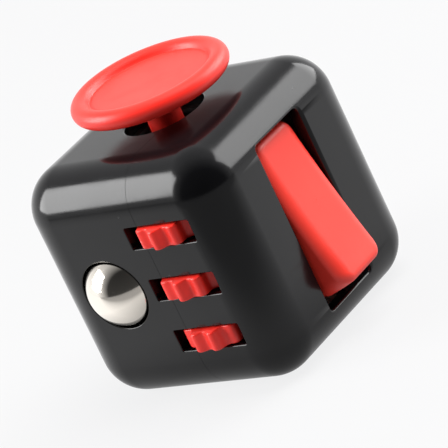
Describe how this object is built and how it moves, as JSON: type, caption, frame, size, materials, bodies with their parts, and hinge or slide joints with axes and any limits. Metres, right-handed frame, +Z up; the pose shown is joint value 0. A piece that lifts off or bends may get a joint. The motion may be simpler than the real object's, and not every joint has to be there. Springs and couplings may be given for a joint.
{
  "type": "fidget cube",
  "caption": "Hand-sized fidget cube with a joystick disc, thumb gears, clicking ball, rocker switch, push buttons, a spinning dial and a thumb dish, with a control on each face",
  "frame": {"origin": "middle of the overall box in plan, on the surface that the cube stands on; the cube's own centre is 1.9 mm to -X and 0.7 mm to +Y of it, because the rocker, wheels and buttons stand proud of their faces", "axes": "+Z up through the joystick face, -Z out of the dial face, +X out of the rocker face, -X out of the thumb dish face, -Y out of the gear and ball face, +Y out of the button face"},
  "size_m": [0.0368, 0.0368, 0.0391],
  "materials": {
    "shell": "moulded black ABS, satin",
    "red_plastic": "moulded red ABS, satin gloss",
    "red_soft_touch": "red soft-touch paint over plastic, matt",
    "nylon": "natural nylon, moulded",
    "dark_nylon": "black nylon, moulded",
    "silicone": "grey silicone, matt",
    "black_rubber": "black rubber, matt",
    "polished_steel": "polished bearing ball",
    "steel": "zinc-plated steel, satin"
  },
  "bodies": {
    "case": {"shell_flip_half": "shell", "shell_breathe_half": "shell", "ball_spring_seat": "nylon", "button_plate": "nylon", "dial_bearing_plate": "nylon", "joystick_cup": "dark_nylon", "gear_bracket": "dark_nylon", "rocker_bracket": "dark_nylon", "joystick_dust_ring": "black_rubber", "button_pad_1": "silicone", "button_pad_2": "silicone", "button_pad_3": "silicone", "button_pad_4": "silicone", "button_pad_5": "silicone", "gear_axle": "steel", "gear_click_leaf": "steel", "ball_spring": "steel", "rocker_pin": "steel", "rocker_bracket_screw_left": "steel", "rocker_bracket_screw_right": "steel", "button_plate_screw_1": "steel", "button_plate_screw_2": "steel", "button_plate_screw_3": "steel", "button_plate_screw_4": "steel", "dial_spring_washer": "steel"},
    "gimbal": {"joystick_gimbal_ring": "nylon"},
    "joystick": {"joystick_disc": "red_plastic", "joystick_foot": "dark_nylon", "joystick_screw": "steel"},
    "gear_top": {"gear_wheel_top": "red_plastic"},
    "gear_middle": {"gear_wheel_middle": "red_plastic"},
    "gear_bottom": {"gear_wheel_bottom": "red_plastic"},
    "ball_seat": {"ball_cup": "dark_nylon"},
    "ball": {"steel_ball": "polished_steel"},
    "flip_switch": {"rocker": "red_soft_touch", "rocker_plunger": "nylon", "rocker_spring": "steel"},
    "dial": {"spin_dial": "red_plastic", "dial_washer": "nylon", "dial_screw": "steel"},
    "button_1": {"click_button_1": "red_plastic"},
    "button_2": {"click_button_2": "red_plastic"},
    "button_3": {"click_button_3": "red_plastic"},
    "button_4": {"click_button_4": "red_plastic"},
    "button_5": {"click_button_5": "red_plastic"}
  },
  "joints": [
    {"name": "joystick_tilt_side", "type": "hinge", "parent": "case", "child": "gimbal", "pos_m": [-0.00223, 0.00067, 0.0265], "axis": [1, 0, 0], "range_deg": [-10, 10]},
    {"name": "joystick_tilt_along", "type": "hinge", "parent": "gimbal", "child": "joystick", "pos_m": [-0.00223, 0.00067, 0.0265], "axis": [0, 1, 0], "range_deg": [-12.36, 7.64]},
    {"name": "gear_top_spin", "type": "hinge", "parent": "case", "child": "gear_top", "pos_m": [0.00407, -0.01243, 0.02405], "axis": [0, 0, 1], "continuous": true},
    {"name": "gear_middle_spin", "type": "hinge", "parent": "case", "child": "gear_middle", "pos_m": [0.00407, -0.01243, 0.0165], "axis": [0, 0, 1], "continuous": true},
    {"name": "gear_bottom_spin", "type": "hinge", "parent": "case", "child": "gear_bottom", "pos_m": [0.00407, -0.01243, 0.00895], "axis": [0, 0, 1], "continuous": true},
    {"name": "ball_press", "type": "slide", "parent": "case", "child": "ball_seat", "axis": [0, 1, 0], "range_m": [0, 0.0008], "stiffness_N_per_m": 1500, "springref_m": -0.0003, "deforming": ["ball_spring"]},
    {"name": "ball_roll", "type": "hinge", "parent": "ball_seat", "child": "ball", "pos_m": [-0.00763, -0.01305, 0.0165], "axis": [1, 0, 0], "continuous": true},
    {"name": "rocker_flip", "type": "hinge", "parent": "case", "child": "flip_switch", "pos_m": [0.01112, 0.00067, 0.0165], "axis": [0, 1, 0], "range_deg": [0, 30]},
    {"name": "button_1_press", "type": "slide", "parent": "case", "child": "button_1", "axis": [0, -1, 0], "range_m": [0, 0.001], "stiffness_N_per_m": 1200, "springref_m": -0.0003, "deforming": ["button_pad_1"]},
    {"name": "button_2_press", "type": "slide", "parent": "case", "child": "button_2", "axis": [0, -1, 0], "range_m": [0, 0.001], "stiffness_N_per_m": 1200, "springref_m": -0.0003, "deforming": ["button_pad_2"]},
    {"name": "button_3_press", "type": "slide", "parent": "case", "child": "button_3", "axis": [0, -1, 0], "range_m": [0, 0.001], "stiffness_N_per_m": 1200, "springref_m": -0.0003, "deforming": ["button_pad_3"]},
    {"name": "button_4_press", "type": "slide", "parent": "case", "child": "button_4", "axis": [0, -1, 0], "range_m": [0, 0.001], "stiffness_N_per_m": 1200, "springref_m": -0.0003, "deforming": ["button_pad_4"]},
    {"name": "button_5_press", "type": "slide", "parent": "case", "child": "button_5", "axis": [0, -1, 0], "range_m": [0, 0.001], "stiffness_N_per_m": 1200, "springref_m": -0.0003, "deforming": ["button_pad_5"]},
    {"name": "dial_spin", "type": "hinge", "parent": "case", "child": "dial", "pos_m": [-0.00188, 0.00067, 0.001], "axis": [0, 0, 1], "continuous": true}
  ]
}
